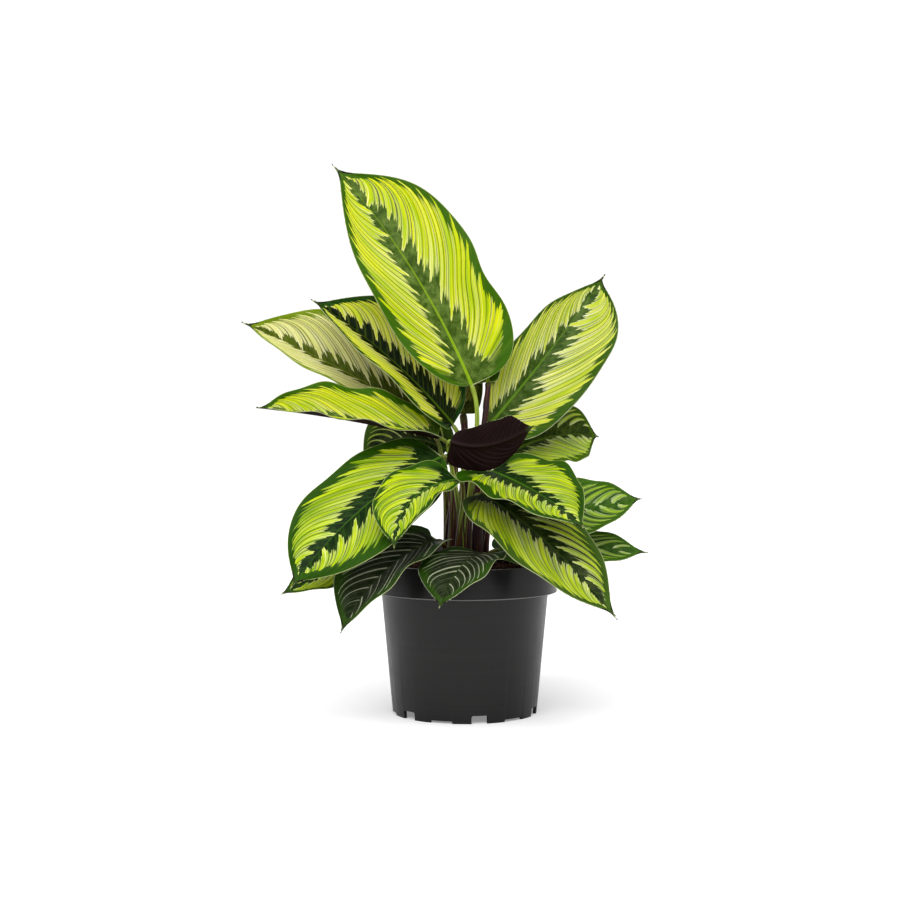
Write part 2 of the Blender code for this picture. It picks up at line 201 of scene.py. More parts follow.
def moulded_plastic():
    """Black recycled polypropylene, injection moulded: a satin charcoal, cloudy by a shade, with a fine
    spark-eroded grain from the mould and faint flow lines round the wall."""
    made, tree = paint("moulded polypropylene")
    place = add(tree, "TexCoord").outputs["Object"]
    cloudy = {"Scale": 1 / (CLOUD_SIZE * MM), "Detail": 4.0, "Roughness": 0.6}
    cloud = add(tree, "TexNoise", cloudy, {"Vector": place})
    ring = add(tree, "Mapping", {"Scale": [one / MM for one in FLOW_STRETCH]}, {"Vector": place})
    flow = add(tree, "TexNoise", {"Scale": 0.35, "Detail": 2.0}, {"Vector": ring})
    shade = add(tree, "Mix", RGBA | {6: linear("#0a0909"), 7: linear("#100f0e")}, {0: cloud})
    dust = add(tree, "MapRange", {1: 0.5, 2: 0.8, 3: 0.0, 4: 0.03}, {0: flow})
    colour = add(tree, "Mix", RGBA | {7: linear("#5a5651")}, {0: dust, 6: shade.outputs[2]})
    # A pale line round the lower edge of the rim is a painted highlight, where that edge catches the light.
    height = add(tree, "SeparateXYZ", links={0: place})
    above = add(tree, "Math", {"operation": "SUBTRACT", 1: NECK_HEIGHT * MM}, {0: height.outputs["Z"]})
    away = add(tree, "Math", {"operation": "ABSOLUTE"}, {0: above})
    rim_highlight = add(tree, "MapRange", {1: HIGHLIGHT_FULLY * MM, 2: HIGHLIGHT_END * MM, 3: 0.6, 4: 0.0}, {0: away})
    colour = add(tree, "Mix", RGBA | {7: linear("#8c8a86")}, {0: rim_highlight, 6: colour.outputs[2]})
    matt = add(tree, "MapRange", {1: 0.3, 2: 0.7, 3: 0.29, 4: 0.4}, {0: cloud})
    grain = add(tree, "TexNoise", {"Scale": 1 / (GRAIN_SIZE * MM), "Detail": 2.0}, {"Vector": place})
    relief = add(tree, "Bump", {"Strength": 0.12, "Distance": GRAIN_DEPTH * MM}, {"Height": grain})
    skin = add(
        tree, "BsdfPrincipled", {"IOR": 1.49, "Specular IOR Level": 0.34},
        {"Base Color": colour.outputs[2], "Roughness": matt, "Normal": relief},
    )
    add(tree, "OutputMaterial", links={"Surface": skin})
    return made


def build_pot():
    """Turns the shell from the middle of its floor up the inside, over the rim and down to the foot."""
    profile = [
        (0, FLOOR_TOP),
        (body_radius(FLOOR_TOP) - WALL - FLOOR_CORNER, FLOOR_TOP),
        (body_radius(FLOOR_TOP) - WALL, FLOOR_TOP + FLOOR_CORNER),
        (body_radius(STEP_LOW) - WALL, STEP_LOW),
        (STEP_RADIUS, STEP_HIGH),
        (RIM_RADIUS - RIM_LIP, POT_HEIGHT - LIP_HEIGHT),
        (RIM_RADIUS - RIM_LIP, POT_HEIGHT),
        (RIM_RADIUS, POT_HEIGHT),
        (RIM_RADIUS - RIM_DRAFT, NECK_HEIGHT + BEAD_HEIGHT + BEAD_SLOPE),
        (RIM_RADIUS - RIM_DRAFT + RIM_BEAD, NECK_HEIGHT + BEAD_HEIGHT),
        (RIM_RADIUS - RIM_DRAFT + RIM_BEAD, NECK_HEIGHT),
        (NECK_RADIUS + SHOULDER_FILLET, NECK_HEIGHT),
        (NECK_RADIUS, NECK_HEIGHT - SHOULDER_FILLET),
        (BASE_RADIUS, 0),
        (BASE_RADIUS - SKIRT_FOOT, 0),
        (body_radius(FLOOR_UNDERSIDE) - SKIRT_TOP, FLOOR_UNDERSIDE),
        (CENTRE_FOOT_RADIUS + CENTRE_FOOT_SLOPE, FLOOR_UNDERSIDE),
        (CENTRE_FOOT_RADIUS, 0),
        (0, 0),
    ]
    pot = piece_of("grower_pot", turned(profile, POT_STEPS), moulded_plastic())
    bm = bmesh.new()
    step = math.tau / NOTCH_COUNT
    gap = step * BASE_RADIUS - NOTCH_WIDTH - 2 * PAD_LENGTH
    for n in range(NOTCH_COUNT):
        middle = math.radians(NOTCH_TURN - 90) + n * step
        cut_from_foot(bm, middle, NOTCH_WIDTH, NOTCH_HEIGHT, NOTCH_CORNER)
        cut_from_foot(bm, middle + step / 2, gap, SKIRT_LIFT, SKIRT_CORNER)
    cutter = piece_of("foot_cuts", bm)
    cut = pot.modifiers.new("foot cuts", "BOOLEAN")
    cut.operation = "DIFFERENCE"
    cut.solver = "EXACT"
    cut.object = cutter
    edge = pot.modifiers.new("moulded edges", "BEVEL")
    edge.width = POT_EDGE * MM
    edge.segments = 3
    edge.limit_method = "ANGLE"
    edge.angle_limit = CRISP
    settled(pot)
    bpy.data.objects.remove(cutter)
    return fitted(pot, "pot_plastic", "pot")


build_pot()

# Potting soil: damp dark peat, crumbly, filled to just under the rim and mounded round the stalks. Loose
# crumbs and short strips of bark lie on it.
SOIL_EDGE_HEIGHT = 107.5
SOIL_CROWN_HEIGHT = 110.5
SOIL_BUMPS = 0.7
SOIL_MOUND = 38.0
SOIL_GAP = 0.4
SOIL_SIDE_GAP = 0.5
SOIL_FOOT = 1.8
SOIL_STEPS = 150
SOIL_RINGS = 44
WALL_FADE = 3.0
CLOD_SIZE = 5.0
CLOD_HEIGHT = 0.9
GRIT_SIZE = 1.7
GRIT_HEIGHT = 0.6
FIBRE_SIZE = 3.0
DRY_CRUMB_SIZE = 1.8
PEAT_RELIEF = 0.5
CRUMB_COUNT = 1500
CRUMB_REACH = RIM_RADIUS - RIM_LIP - 3.6
CRUMB_SIZES = (0.5, 0.6, 0.8, 1.1, 1.5)
CRUMB_SHAPE = (0.6, 1.3)
BARK_COUNT = 170
BARK_SHAPE = ((2.5, 6.0), (0.6, 1.4), (0.3, 0.7))
BARK_TILT = 0.3


def soil_height(x, y):
    """Height of the soil at a place: mounded round the stalks, with soft lumps."""
    r = math.hypot(x, y)
    mound = math.exp(-((r / SOIL_MOUND) ** 2))
    lumps = math.sin(x / 7 + 1.3) * math.cos(y / 8 - 0.4) + math.sin((x + y) / 11 + 2)
    return SOIL_EDGE_HEIGHT + (SOIL_CROWN_HEIGHT - SOIL_EDGE_HEIGHT) * mound + SOIL_BUMPS * lumps / 2


def damp_peat():
    """Damp peat: nearly black, with red-brown fibre and paler dry crumbs, fully matt."""
    made, tree = paint("damp peat")
    place = add(tree, "TexCoord").outputs["Object"]
    fibrous = {"Scale": 1 / (FIBRE_SIZE * MM), "Detail": 5.0, "Roughness": 0.7}
    fibre = add(tree, "TexNoise", fibrous, {"Vector": place})
    crumb = add(tree, "TexVoronoi", {"Scale": 1 / (DRY_CRUMB_SIZE * MM)}, {"Vector": place})
    soil = add(tree, "ValToRGB", links={0: fibre})
    stops = soil.color_ramp.elements
    stops[0].position, stops[0].color = 0.32, linear("#1c120b")
    stops[1].position, stops[1].color = 0.72, linear("#6a4228")
    stops.new(0.52).color = linear("#3a2416")
    tint = add(tree, "SeparateColor", links={0: crumb.outputs["Color"]})
    dry = add(tree, "MapRange", {1: 0.82, 2: 1.0, 3: 0.0, 4: 0.45}, {0: tint})
    colour = add(tree, "Mix", RGBA | {7: linear("#7a5236")}, {0: dry, 6: soil})
    relief = add(tree, "Bump", {"Strength": 0.6, "Distance": PEAT_RELIEF * MM}, {"Height": fibre})
    skin = add(
        tree, "BsdfPrincipled", {"Roughness": 0.95, "Specular IOR Level": 0.25},
        {"Base Color": colour.outputs[2], "Normal": relief},
    )
    add(tree, "OutputMaterial", links={"Surface": skin})
    return made


def inside_radius(z):
    """Inner radius of the pot wall at this height."""
    heights = (0, STEP_LOW, STEP_HIGH, POT_HEIGHT - LIP_HEIGHT)
    radii = (BASE_RADIUS - WALL, body_radius(STEP_LOW) - WALL, STEP_RADIUS, RIM_RADIUS - RIM_LIP)
    return float(np.interp(z, heights, radii))


def build_soil():
    """Turns the peat that fills the pot, roughens its top, and strews crumbs and bark on it."""
    edge = inside_radius(SOIL_EDGE_HEIGHT - 1) - SOIL_GAP
    profile = [(edge * math.sqrt(k / SOIL_RINGS), SOIL_EDGE_HEIGHT) for k in range(SOIL_RINGS + 1)]
    profile += [(inside_radius(z) - SOIL_SIDE_GAP, z) for z in (STEP_HIGH, STEP_LOW, FLOOR_TOP + SOIL_FOOT)]
    profile += [(0, FLOOR_TOP + SOIL_GAP)]
    bm = turned(profile, SOIL_STEPS)
    for vert in bm.verts:
        x, y, z = vert.co / MM
        if z < SOIL_EDGE_HEIGHT - 0.5:
            continue
        near_wall = min(1.0, max(0.0, (edge - math.hypot(x, y)) / WALL_FADE))
        rough = noise.fractal(Vector((x, y, 0)) / CLOD_SIZE, 0.8, 2.1, 4) * CLOD_HEIGHT
        rough += noise.noise(Vector((x, y, 3)) / GRIT_SIZE) * GRIT_HEIGHT
        vert.co.z = (soil_height(x, y) + rough * near_wall) * MM
    draw = random.Random(7)
    for n in range(CRUMB_COUNT + BARK_COUNT):
        reach = CRUMB_REACH * math.sqrt(draw.random())
        angle = draw.uniform(0, math.tau)
        x, y = reach * math.cos(angle), reach * math.sin(angle)
        turn = Matrix.Rotation(draw.uniform(0, math.tau), 4, Vector([draw.gauss(0, 1) for _ in range(3)]))
        if n < CRUMB_COUNT:
            size = draw.choice(CRUMB_SIZES)
            made = bmesh.ops.create_icosphere(bm, subdivisions=1, radius=size * MM)["verts"]
            shape = [draw.uniform(*CRUMB_SHAPE) for _ in range(3)]
        else:
            size = 0.5
            made = bmesh.ops.create_cube(bm, size=MM)["verts"]
            shape = [draw.uniform(*limits) for limits in BARK_SHAPE]
            turn = Matrix.Rotation(draw.uniform(0, math.tau), 4, "Z")
            turn = turn @ Matrix.Rotation(draw.gauss(0, BARK_TILT), 4, "Y")
        place = Vector((x, y, soil_height(x, y) + 0.4 * size)) * MM
        for vert in made:
            vert.co = turn @ Vector([a * b for a, b in zip(vert.co, shape)]) + place
    soil = piece_of("potting_soil", bm, damp_peat())
    soil.data.shade_smooth()
    soil.data.set_sharp_from_angle(angle=CRISP)
    return fitted(soil, "soil", "soil")


build_soil()

# Leaf stalks: one fleshy green or purple stalk for each leaf, straight up out of the soil and then arched.
# Its lower half is a sheath with a groove, and the last centimetre under the blade is a paler, swollen joint.
# Each stalk ends at its blade, so the blades' shapes are listed here.
MIDRIB_THICKNESS = 1.7
NECK_HALF_WIDTH = 1.3
NECK_TAPER = 0.3
NECK_OVERLAP = 0.35
DRIP_TIP = 0.955
DRIP_TIP_SHARE = 0.06
BASE_ROUNDNESS = 2.6
TIP_SLIMNESS = 1.15
DENT_WIDTH = 0.1
LOBE_START = 2.0
LOBE_SPREAD = 0.5
RIPPLE_SHIFTS = (-0.6, 1.1)
RIPPLE_FALL = 2.5
STALK_START = 2.0
STALK_HOLE_DEPTH = 13.7
STALK_RINGS = 64
STALK_SIDES = 18
STALK_TAPER = 0.22
STALK_GROOVE = 0.072
LEAST_RISE = 8.0
SHEATH_SPREAD = 0.6
SHEATH_END = 0.55
SHEATH_GROOVE = 0.192
SHEATH_PURPLE_AND_SHADE = 0.24
GROOVE_WIDTH = 0.42
JOINT_LENGTH = 11.0
JOINT_SWELL = 0.12
JOINT_END = 0.86
JOINT_ROUNDING = 8.0
STREAK_LENGTH = 60.0
STREAK_RELIEF = 0.2


def unit(v):
    """These vectors at a length of one."""
    return v / np.linalg.norm(v, axis=-1, keepdims=True)


def by_half(v, pair):
    """The pair's value for the left half of a blade where v is below 0, and for its right half above."""
    return np.where(v > 0, pair[1], pair[0])


class Leaf:
    """One leaf. The midrib runs through base, mid and tip. The upper side looks to face at the base and to
    face_tip at the tip.

    half, fold and cup hold a value for the left and for the right half, seen from above with the tip away.
    wave is the height, number and phase of the edge's waves. root is the place of the stalk in the soil,
    stalk its radius, arch how far it runs in line with the midrib, and rise how straight up it starts. widest
    is where each half is widest, point how full it stays towards the tip, blunt how slim it is at the base,
    lobe how far it reaches back past the base, and dent a shallow hollow in the edge: place, left, right.
    A large blade has more veins. look names the colours, band and margin are the shares of each half that
    stay dark along the midrib and the edge, stripe is how much of the space between two veins is pale, and
    purple is the stalk's tint.
    """

    def __init__(self, name, base, mid, tip, half, face, root, fold=(12, 12), cup=(6, 6),
                 wave=(2.0, 3.0, 0.0), face_tip=None, stalk=1.9, arch=18.0, rise=0.5, widest=(0.4, 0.4),
                 lobe=0.03, point=(2.8, 2.8), blunt=(0.42, 0.42), dent=(0.4, 0, 0), large=False, look="lime",
                 band=(0.25, 0.25), margin=(0.11, 0.11), stripe=(1.0, 1.0), purple=0.5):
        self.name = name
        self.base, self.mid, self.tip = np.array((base, mid, tip), float)
        self.half = half
        self.face, self.face_tip = unit(np.array((face, face_tip or face), float))
        self.root = root
        self.fold = fold
        self.cup = cup
        self.wave = wave
        self.stalk = stalk
        self.arch = arch
        self.rise = rise
        self.widest = widest
        self.lobe = lobe
        self.point = point
        self.blunt = blunt
        self.dent = dent
        self.large = large
        self.look = look
        self.band = band
        self.margin = margin
        self.stripe = stripe
        self.purple = purple

    def frame(self, u):
        """Point, direction, right side and upper side of the midrib at u from 0 to 1."""
        u = np.asarray(u, float)[..., None]
        c = 2 * self.mid - (self.base + self.tip) / 2
        point = (1 - u) ** 2 * self.base + 2 * u * (1 - u) * c + u**2 * self.tip
        along = unit(2 * (1 - u) * (c - self.base) + 2 * u * (self.tip - c))
        face = self.face * (1 - u) + self.face_tip * u
        side = unit(np.cross(along, face))
        return point, along, side, np.cross(side, along)

    def half_width(self, u, k):
        """Reach of the blade from the midrib at u, on the left for k = 0 and on the right for k = 1."""
        body = np.clip(u / DRIP_TIP, 0, 1)
        widest = self.widest[k]
        to_base = np.clip((widest - body) / widest, 0, 1)
        to_tip = np.clip((body - widest) / (1 - widest), 0, 1)
        width = (1 - to_base**BASE_ROUNDNESS) ** self.blunt[k] * (1 - to_tip ** self.point[k]) ** TIP_SLIMNESS
        width = width * (1 - self.dent[1 + k] * np.exp(-(((u - self.dent[0]) / DENT_WIDTH) ** 2)))
        neck = NECK_HALF_WIDTH * np.clip((1 - u) / DRIP_TIP_SHARE, 0, 1) * (1 - NECK_TAPER * u)
        return width * self.half[k] + neck

    def reach(self, u, v):
        """Reach of the blade from the midrib at u, on the side of v."""
        return by_half(v, (self.half_width(u, 0), self.half_width(u, 1)))

    def surface(self, u, v):
        """Upper side of the blade at u along the midrib and v from -1 at the left edge to 1 at the right."""
        half = by_half(v, self.half)
        reach = self.reach(u, v)
        d = np.abs(v) * reach
        back = np.clip((d - LOBE_START) / (LOBE_SPREAD * half), 0, 1)
        point, along, side, up = self.frame(u - self.lobe * back * back * (3 - 2 * back) * (1 - u) ** 6)
        fold = np.radians(by_half(v, self.fold))
        bend = np.radians(by_half(v, self.cup)) / half + 1e-6
        across = (np.sin(fold + bend * d) - np.sin(fold)) / bend
        lift = (np.cos(fold) - np.cos(fold + bend * d)) / bend
        size, count, phase = self.wave
        ripple = np.sin(2 * np.pi * count * u + phase + by_half(v, RIPPLE_SHIFTS))
        lift = lift + size * np.abs(v) ** RIPPLE_FALL * reach / half * ripple
        return point + (np.sign(v) * across)[..., None] * side + lift[..., None] * up

    def stalk_point(self, t):
        """Middle of the stalk at t, which runs from the soil at 0 to the blade at 1."""
        x, y = self.root
        ground = soil_height(x, y)
        start = np.array((x, y, ground + STALK_START))
        point, along, _, up = (a[0] for a in self.frame(np.array([0.0])))
        end = point - along * NECK_OVERLAP - up * MIDRIB_THICKNESS / 2
        lift = np.array((0, 0, self.rise * max(LEAST_RISE, end[2] - ground)))
        handle = end - along * self.arch
        t = np.asarray(t, float)[..., None]
        low = (1 - t) ** 3 * start + 3 * t * (1 - t) ** 2 * (start + lift)
        return low + 3 * t * t * (1 - t) * handle + t**3 * end


LEAVES = [
    # Upper leaves, from the tallest down
    Leaf("top", base=(5, -12, 248), mid=(-41, 2, 337), tip=(-103, 37, 420), half=(38, 50),
         face=(0.15, -1, 0.25), root=(1, -4), fold=(8, 10), cup=(4, 4), wave=(2.5, 2.5, 1.0), arch=30,
         widest=(0.42, 0.37), point=(2.4, 3.6), dent=(0.34, 0, 0.13), lobe=0.0, blunt=(0.6, 0.3),
         large=True, stalk=2.1,
         look="lime", band=(0.22, 0.24), margin=(0.07, 0.08), purple=0.0),
    Leaf("right_high", base=(19, 5, 218), mid=(66, 20, 275), tip=(110, 45, 335), half=(26, 43.5),
         face=(-0.25, -1, 0.15), root=(9, 1), fold=(28, 10), cup=(6, 4), wave=(2.0, 3.0, 2.0), arch=25,
         large=True, stalk=2.2, blunt=(0.8, 0.42), point=(2.8, 4.2),
         look="pale", band=(0.2, 0.24), margin=(0.08, 0.05), purple=0.2),
    Leaf("left_far", base=(-34, 22, 224), mid=(-103, 36, 264), tip=(-175, 51, 298), half=(32, 40),
         face=(0.2, -0.8, 0.5), root=(-14, 12), fold=(34, 28), cup=(6, 6), wave=(2.0, 3.0, 0.5), arch=25,
         large=True,
         look="cream", band=(0.14, 0.2), margin=(0.06, 0.08), purple=0.4),
    Leaf("left_high", base=(-9, 0, 218), mid=(-60, 7, 271), tip=(-118, 22, 314), half=(34, 40),
         face=(0.35, -0.85, 0.4), root=(-6, 4), fold=(38, 32), cup=(4, 4), wave=(2.0, 2.5, 2.5), arch=25,
         large=True, blunt=(0.42, 0.9),
         look="deep", band=(0.24, 0.25), margin=(0.08, 0.12), purple=0.3),
    Leaf("left_flat", base=(-20, -15, 209), mid=(-92, -40, 223.5), tip=(-151, -60, 231), half=(14, 27),
         face=(0, -0.35, 1), root=(-9, -4), fold=(19, 44), cup=(0, 4), wave=(1.8, 3.5, 0.0), arch=22,
         large=True, stalk=1.7,
         look="lime", band=(0.1, 0.08), margin=(0.12, 0.12), purple=0.5),
    Leaf("left_shaded", base=(-14, 24, 198), mid=(-52, 38, 206), tip=(-80, 52, 184), half=(30, 24),
         face=(-0.1, -1, 0.3), root=(-15, 3), arch=20,
         look="olive", band=(0.2, 0.2), margin=(0.2, 0.2), stripe=(0.3, 0.3), purple=0.7),
    Leaf("back_tall", base=(-1, 24, 226), mid=(-12, 46, 298), tip=(-24, 75, 365), half=(30, 20),
         face=(0.2, -1, 0.3), root=(1, 11), arch=25, stalk=3.4,
         look="backlit", band=(0.15, 0.15), margin=(0.12, 0.12), purple=1.0),
    Leaf("back_centre", base=(17.5, -3, 250), mid=(7, 20, 300), tip=(-8, 44, 342), half=(15, 13),
         face=(0.1, -1, 0.3), root=(8, -10), arch=8, stalk=2.6,
         look="lime", purple=1.0),
    # Middle leaves
    Leaf("left_low", base=(-18, -17, 194), mid=(-76, -66, 157), tip=(-124, -96, 103), half=(44, 37),
         face=(-0.35, -0.8, 0.6), root=(-11, -13), fold=(2, 10), cup=(4, 10), wave=(1.0, 3.0, 1.0), arch=20,
         widest=(0.55, 0.4), lobe=0.0, large=True, point=(2.8, 4.2), blunt=(0.75, 0.22),
         look="green", band=(0.26, 0.28), margin=(0.2, 0.12), purple=0.6),
    Leaf("front_small", base=(-6.5, -51, 178.5), mid=(-39, -87, 165), tip=(-50, -112, 133), half=(23, 27),
         face=(-0.3, -0.7, 0.7), root=(-6, -20), fold=(15, 10), wave=(1.5, 3.0, 0.0), arch=15,
         widest=(0.42, 0.32), blunt=(0.8, 0.16), lobe=0.0,
         look="green", band=(0.14, 0.14), margin=(0.12, 0.07), purple=0.4),
    Leaf("front_upright", base=(-10, -42, 206), mid=(18, -55, 204), tip=(49, -65, 218), half=(20, 16),
         face=(0, 0.9, 0.35), root=(-1, -12), fold=(3, 3), wave=(1.5, 2.0, 0.0), arch=8, widest=(0.3, 0.85),
         blunt=(0.12, 0.5), point=(2.0, 2.8),
         look="dark", purple=0.3),
    Leaf("right_front", base=(20, -36, 184), mid=(54, -90, 169), tip=(80, -138, 149), half=(33, 39),
         face=(0.05, -0.5, 0.9), root=(11, -18), fold=(13, 8), cup=(6, 8), wave=(2.5, 3.0, 1.5), arch=15,
         widest=(0.32, 0.3), lobe=0.07, large=True, point=(1.9, 2.8), blunt=(0.42, 0.24),
         look="green", band=(0.2, 0.22), margin=(0.12, 0.14), purple=0.5),
    Leaf("right_mid", base=(34, 14, 196), mid=(72, 32, 209), tip=(105, 42, 208), half=(26, 32),
         face=(0, -0.8, 0.6), root=(15, 7), arch=20, point=(4.0, 4.6),
         look="mid", band=(0.5, 0.14), margin=(0.12, 0.12), stripe=(0.6, 1.0), purple=0.6),
    Leaf("right_low", base=(12, -38, 167), mid=(57, -85, 136), tip=(105, -115, 84), half=(29, 37),
         face=(0.2, -0.7, 0.6), root=(3, -21), wave=(2.0, 3.0, 0.0), arch=15, widest=(0.4, 0.45), lobe=0.0,
         large=True,
         look="olive", band=(0.3, 0.12), margin=(0.14, 0.07), stripe=(0.8, 1.2), purple=0.5),
    Leaf("right_far", base=(46, -5, 152), mid=(90, -12, 156), tip=(132, -20, 163), half=(22, 28),
         face=(0, -0.8, 0.6), root=(16, -2), arch=25, rise=1.0,
         look="fresh", band=(0.2, 0.2), margin=(0.14, 0.14), stripe=(0.75, 0.75), purple=0.6),
    # Low leaves round the rim
    Leaf("right_rim", base=(26, -10, 124), mid=(84, -14, 126), tip=(137, -16, 122), half=(18, 28),
         face=(0, -0.6, 0.8), root=(16, -11), arch=8,
         look="fresh", band=(0.16, 0.16), margin=(0.14, 0.14), stripe=(0.55, 0.55), purple=0.7),
    Leaf("left_sliver", base=(-52, -20, 130), mid=(-96, -34, 112), tip=(-135, -45, 94), half=(20, 20),
         face=(-0.2, -0.7, 0.7), root=(-19, -7), arch=12,
         look="green", purple=0.6),
    Leaf("rim_left", base=(-22, -38, 133), mid=(-60, -68, 112), tip=(-89, -85, 71), half=(27, 32),
         face=(-0.5, -0.6, 0.7), root=(-14, -22), arch=10, lobe=0.08, widest=(0.4, 0.3), point=(2.8, 4.2),
         look="dark", band=(0.08, 0.08), margin=(0.16, 0.16), stripe=(0.17, 0.17), purple=0.8),
    Leaf("rim_front", base=(13, -46, 124), mid=(-5, -78, 116), tip=(-19, -100, 90), half=(28, 30),
         face=(-0.2, -0.6, 0.8), root=(11, -28), arch=8, fold=(12, 2), cup=(6, 0),
         look="dark", band=(0.1, 0.1), margin=(0.16, 0.16), stripe=(0.17, 0.17), purple=0.8),
    # Leaves at the back
    Leaf("back_left", base=(-22, 42, 186), mid=(-48, 92, 188), tip=(-68, 140, 166), half=(30, 30),
         face=(0.1, 0.3, 1), root=(-8, 19), arch=20, look="green", purple=0.5),
    Leaf("back_right", base=(30, 42, 184), mid=(56, 88, 190), tip=(72, 128, 172), half=(24, 24),
         face=(0, 0.4, 1), root=(14, 17), arch=20, look="green", purple=0.6),
    Leaf("back_low", base=(3, 46, 196), mid=(4, 100, 204), tip=(4, 146, 184), half=(26, 26),
         face=(0, 0.5, 1), root=(3, 20), arch=18, look="lime", purple=0.3),
    Leaf("rim_back", base=(-6, 36, 120), mid=(-18, 80, 116), tip=(-27, 114, 84), half=(24, 24),
         face=(0, 0.5, 1), root=(-2, 27), arch=8, look="dark", stripe=(0.3, 0.3), purple=0.7),
    Leaf("rim_back_right", base=(30, 24, 120), mid=(62, 58, 115), tip=(86, 84, 82), half=(22, 22),
         face=(0.3, 0.3, 1), root=(22, 12), arch=8, look="dark", stripe=(0.3, 0.3), purple=0.7),
]


def fleshy_stalk():
    """Fleshy stalk skin: green streaked with wine purple along its length, a yellow-green joint at the top,
    and a waxy, half-gloss surface."""
    made, tree = paint("fleshy stalk")
    along = add(tree, "Attribute", {"attribute_name": "along"}).outputs["Vector"]
    part = add(tree, "SeparateXYZ", links={0: along})
    around = add(tree, "Attribute", {"attribute_name": "around"}).outputs["Vector"]
    streak = add(tree, "TexNoise", {"Scale": 1.8, "Detail": 3.0}, {"Vector": around})
    wine = add(tree, "Math", {"operation": "MULTIPLY_ADD", 1: 2.6, 2: -1.3}, {0: streak})
    tint = add(tree, "Math", {"operation": "ADD", "use_clamp": True}, {0: part.outputs["Y"], 1: wine})
    colour = add(tree, "ValToRGB", links={0: tint})
    stops = colour.color_ramp.elements
    stops[0].position, stops[0].color = 0.05, linear("#93a83a")
    stops[1].position, stops[1].color = 0.95, linear("#2a0e12")
    stops.new(0.35).color = linear("#64742a")
    stops.new(0.6).color = linear("#52200f")
    joint = add(tree, "MapRange", {1: 0.0, 2: 1.0, 3: 0.0, 4: 0.7}, {0: part.outputs["X"]})
    green = add(tree, "MapRange", {1: 0.4, 2: 1.0, 3: 1.0, 4: 0.15}, {0: part.outputs["Y"]})
    joint = add(tree, "Math", {"operation": "MULTIPLY"}, {0: joint, 1: green})
    mixed = add(tree, "Mix", RGBA | {7: linear("#7a8e2a")}, {0: joint, 6: colour})
    relief = add(tree, "Bump", {"Strength": 0.35, "Distance": STREAK_RELIEF * MM}, {"Height": streak})
    skin = add(
        tree, "BsdfPrincipled", {"Roughness": 0.42, "IOR": 1.42, "Specular IOR Level": 0.35},
        {"Base Color": mixed.outputs[2], "Normal": relief},
    )
    add(tree, "OutputMaterial", links={"Surface": skin})
    return made


def build_stalk(leaf, skin):
    """Rolls a grid into a closed, tapered tube from the stalk's hole in the soil to the neck of its blade."""
    bm = bmesh.new()
    bmesh.ops.create_grid(bm, x_segments=STALK_RINGS, y_segments=STALK_SIDES, size=1)
    bm.verts.ensure_lookup_table()
    flat = np.array([vert.co[:] for vert in bm.verts])
    ring = np.round((flat[:, 0] + 1) / 2 * STALK_RINGS)
    turn = (flat[:, 1] + 1) * math.pi
    # The first two rings stand in the soil, and the others follow the arc.
    t = np.clip((ring - 2) / (STALK_RINGS - 2), 0, 1)
    middle = leaf.stalk_point(t)
    middle[ring < 2, 2] -= STALK_START
    middle[ring < 1, 2] -= STALK_HOLE_DEPTH
    heading = unit(leaf.stalk_point(np.minimum(t + 0.01, 1)) - leaf.stalk_point(np.maximum(t - 0.01, 0)))
    side = unit(np.cross(heading, np.cross(leaf.frame(0.0)[2], heading)))
    front = np.cross(side, heading)
    # Distance to the blade, in millimetres, sets the swollen joint.
    fine = leaf.stalk_point(np.linspace(0, 1, 200))
    length = np.linalg.norm(np.diff(fine, axis=0), axis=1).sum()
    left = length * (1 - t)
    joint = np.exp(-((2 * left / JOINT_LENGTH - 1) ** 4))
    sheath = np.clip(1 - t / SHEATH_END, 0, 1)
    radius = leaf.stalk * (1 - STALK_TAPER * t) * (1 + JOINT_SWELL * joint) + SHEATH_SPREAD * sheath
    radius = radius * np.clip(JOINT_END + left / JOINT_ROUNDING, JOINT_END, 1)
    groove = SHEATH_GROOVE * np.clip(sheath * 2, 0, 1) + STALK_GROOVE * (1 - joint)
    inward = np.exp(-(((turn - math.pi / 2) / GROOVE_WIDTH) ** 2))
    radius = radius * (1 - groove * inward)
    places = middle + (radius * np.cos(turn))[:, None] * side + (radius * np.sin(turn))[:, None] * front
    along_layer = bm.verts.layers.float_vector.new("along")
    around_layer = bm.verts.layers.float_vector.new("around")
    for vert, place, angle, j, s, far in zip(bm.verts, places, turn, joint, sheath, left):
        vert.co = place * MM
        # Down the sheath the stalk turns darker purple: partly its own tint, partly painted shade, where the
        # low stalks stand under the leaves.
        vert[along_layer] = Vector((j, leaf.purple + SHEATH_PURPLE_AND_SHADE * min(1.0, s * 2) - 0.06, 0))
        vert[around_layer] = Vector((math.cos(angle), math.sin(angle), far / STREAK_LENGTH + leaf.root[0]))
    bmesh.ops.remove_doubles(bm, verts=bm.verts, dist=MERGED * MM)
    bmesh.ops.holes_fill(bm, edges=[e for e in bm.edges if e.is_boundary], sides=STALK_SIDES + 1)
    bmesh.ops.recalc_face_normals(bm, faces=bm.faces)
    stalk = piece_of("stalk_" + leaf.name, bm, skin)
    stalk.data.shade_smooth()
    return fitted(stalk, "petiole", "petiole_" + leaf.name)


stalk_skin = fleshy_stalk()
for leaf in LEAVES:
    build_stalk(leaf, stalk_skin)

